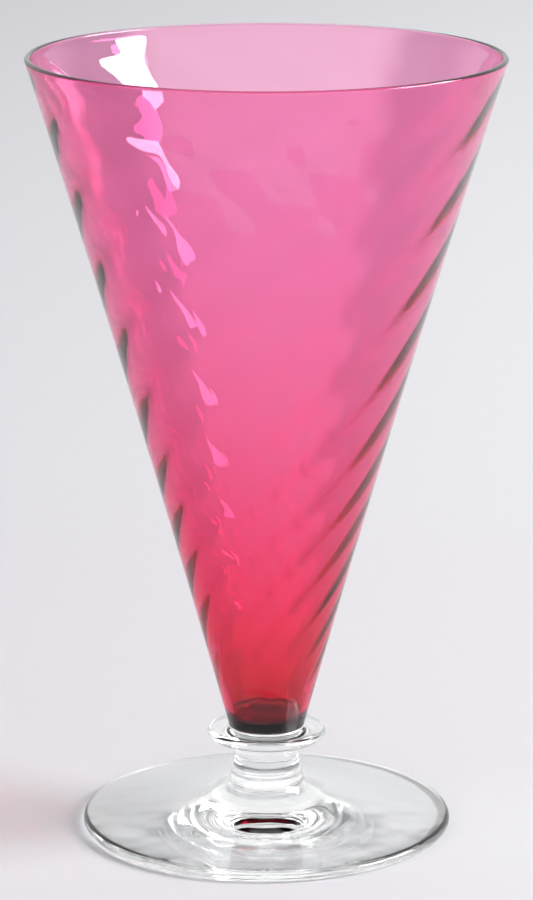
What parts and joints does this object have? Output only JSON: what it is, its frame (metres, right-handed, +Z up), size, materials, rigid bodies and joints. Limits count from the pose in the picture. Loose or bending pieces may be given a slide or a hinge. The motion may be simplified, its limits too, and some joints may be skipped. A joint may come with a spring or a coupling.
{
  "type": "footed tumbler",
  "caption": "Tall conical drinking glass with a swirl-ribbed ruby bowl cased in clear glass, on a clear collar, short stem and disc foot.",
  "frame": {"origin": "on the table, under the middle of the foot", "axes": "+Z up the axis of the glass, -Y towards the picture's viewpoint"},
  "size_m": [0.096, 0.096, 0.16],
  "materials": {
    "clear_glass": "fire polished, clear",
    "ruby_glass": "fire polished, gold ruby"
  },
  "bodies": {
    "root": {"foot": "clear_glass", "stem": "clear_glass", "collar": "clear_glass", "clear_casing": "clear_glass", "ruby_lining": "ruby_glass"}
  },
  "joints": []
}
